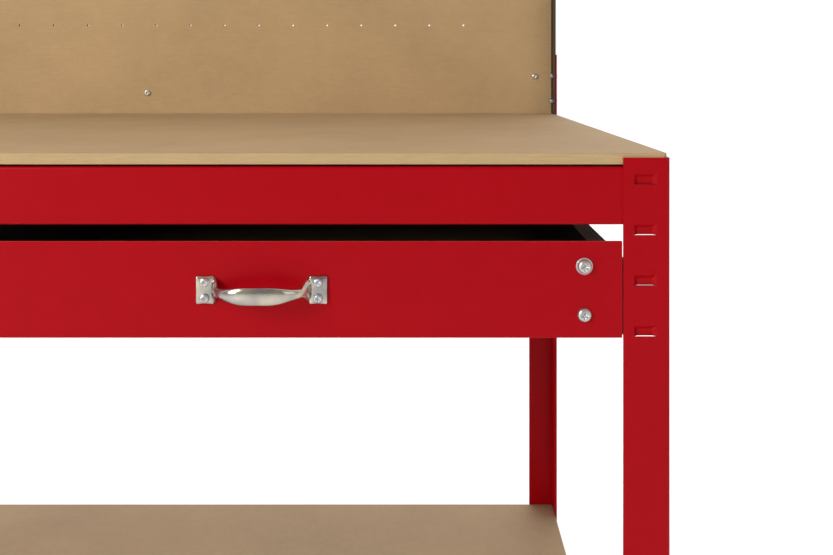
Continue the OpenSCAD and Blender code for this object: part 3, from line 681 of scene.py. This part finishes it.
def foot_plate(width, height, thick, hollow):
    """Rings of a sharp-cornered plate whose edges are hollowed, domed gently towards the face."""
    angle = np.linspace(0, 2 * np.pi, 128, endpoint=False)
    power = 2 / 11
    x = np.sign(np.cos(angle)) * np.abs(np.cos(angle)) ** power
    z = np.sign(np.sin(angle)) * np.abs(np.sin(angle)) ** power
    size = np.array([1.0, 1.0, 0.985, 0.94, 0.84, 0.5, 0.04])
    rise = np.array([0.0, 0.50, 0.72, 0.86, 0.94, 0.99, 1.0])
    grid = np.empty((len(size), len(angle), 3))
    grid[..., 0] = size[:, None] * (width / 2) * x * (1 - 0.6 * hollow * (1 - z * z))
    grid[..., 1] = -rise[:, None] * thick
    grid[..., 2] = size[:, None] * (height / 2) * z * (1 - hollow * (1 - x * x))
    return grid


FOOT_WIDTH = 14.4 * MM
FOOT_HEIGHT = 22.6 * MM
FOOT_THICK = 2.4 * MM
BOW_INTO_FOOT = 3.2 * MM
BOW_MIDDLE = 13.2 * MM
BOW_NECK = 7.8 * MM
BOW_ROOT = 20 * MM
INSIDE_BOX = 0.05 * MM
for side in SIDES:
    node = side + "_handle"
    low, high = box(node)
    middle = (low + high) / 2
    wall = high[1]
    centre = np.array([middle[0], wall, middle[2]])
    foot_x = (high[0] - low[0] - FOOT_WIDTH) / 2
    plate = foot_plate(FOOT_WIDTH, FOOT_HEIGHT, FOOT_THICK, 0.07)
    parts = [closed_tube(plate + centre + [s * foot_x, 0, 0]) for s in (-1, 1)]
    half = foot_x - FOOT_WIDTH / 2 + BOW_INTO_FOOT
    arch = bow(half, high[1] - low[1] - INSIDE_BOX, BOW_MIDDLE, BOW_NECK, BOW_ROOT)
    parts.append(closed_tube(arch + centre))
    piece = made_piece(node + "_finished", parts, nickel, body_of[node], 50)
    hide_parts(node)
    print(node, "reach", round((wall - low[1]) / MM, 1), "mm")

# %% [markdown]
# ## Studio
#
# The bench stands on a pale floor in an even, bright room. The floor glows, faintly at the front and
# more towards the back: painted light that keeps the far floor white and lights the bench from below.
# A large soft lamp high on the left is the key, a weaker one on the right opens the shadows, and the
# world is a white room that darkens towards the floor, so that the plated handles have something to
# reflect. The camera is level, close to the right-hand drawer and just above the worktop, with its lens
# shifted down.


# %% Floor, world and lamps
def stage_floor():
    """A flat pale square, wide enough for every view, paler and glowing more towards the back: painted
    light.
    """
    half = 14.0
    mesh = bpy.data.meshes.new("studio_floor")
    corners = [(-half, -half, 0), (half, -half, 0), (half, half, 0), (-half, half, 0)]
    mesh.from_pydata([(x, y, z - 0.2 * MM) for x, y, z in corners], [], [(0, 1, 2, 3)])
    floor = bpy.data.objects.new("studio_floor", mesh)
    bpy.context.scene.collection.objects.link(floor)
    pale = Finish("studio_floor_painted_glow", Roughness=0.9, Specular_IOR_Level=0.1)
    # Painted light: the floor gets paler and glows more towards the back, keeping the far floor white and
    # lighting the bench from below; at the front it barely glows.
    depth = pale.node("SeparateXYZ", {}, {0: pale.coords}, output="Y").span(-0.6, 1.4)
    pale.set("Base Color", pale.mix(depth, (0.80, 0.80, 0.795, 1), (0.94, 0.94, 0.935, 1)))
    pale.set("Emission Color", pale.mix(depth, (0.02, 0.02, 0.02, 1), (0.40, 0.40, 0.40, 1)))
    pale.set("Emission Strength", 1.0)
    mesh.materials.append(pale.material)


def lamp(name, place, target, width, power, colour=(1, 1, 1)):
    """A square soft lamp at a place, turned towards a target."""
    light = bpy.data.lights.new(name, "AREA")
    light.shape = "SQUARE"
    light.size = width
    light.energy = power
    light.color = colour
    lit = bpy.data.objects.new(name, light)
    bpy.context.scene.collection.objects.link(lit)
    lit.location = place
    away = np.asarray(place, float) - np.asarray(target, float)
    flat = math.hypot(away[0], away[1])
    lit.rotation_euler = (math.atan2(flat, away[2]), 0, math.atan2(away[0], -away[1]))
    return lit


stage_floor()
lamp("key_softbox", (-2.6, -2.8, 2.7), (0, 0, 0.7), 1.5, 78, (1.0, 0.985, 0.96))
lamp("low_softbox", (-1.7, -2.0, 1.25), (0, 0, 0.7), 0.8, 13, (1.0, 0.98, 0.94))
lamp("fill_softbox", (3.2, -2.6, 1.6), (0, 0, 0.7), 2.0, 9, (0.97, 0.985, 1.0))
lamp("rear_softbox", (0.3, 3.2, 3.4), (0, 1.2, 0.4), 3.0, 42)

world = bpy.data.worlds.new("white_room")
bpy.context.scene.world = world
world.use_nodes = True
room = world.node_tree
direction = room.nodes.new("ShaderNodeTexCoord")
split = room.nodes.new("ShaderNodeSeparateXYZ")
ramp = room.nodes.new("ShaderNodeMapRange")
ramp.interpolation_type = "SMOOTHSTEP"
ramp.inputs["From Min"].default_value = -0.45
ramp.inputs["From Max"].default_value = 0.25
ramp.inputs["To Min"].default_value = 0.26
ramp.inputs["To Max"].default_value = 1.02
room.links.new(direction.outputs["Generated"], split.inputs[0])
room.links.new(split.outputs["Y"], ramp.inputs["Value"])
room.links.new(ramp.outputs[0], room.nodes["Background"].inputs["Strength"])
room.nodes["Background"].inputs["Color"].default_value = (1, 1, 1, 1)
bpy.context.scene.view_settings.view_transform = "Standard"

# %% Camera
camera_data = bpy.data.cameras.new("close_view")
camera_data.sensor_width = 36.0
camera_data.lens = 35.0
camera_data.shift_x = -0.0162
camera_data.shift_y = -0.2479
camera = bpy.data.objects.new("close_view", camera_data)
bpy.context.scene.collection.objects.link(camera)
camera.location = (0.413, front_y - 0.630, worktop_z + 0.064)
camera.rotation_euler = (math.radians(90), 0, 0)
bpy.context.scene.camera = camera
print("camera", [round(c, 3) for c in camera.location])
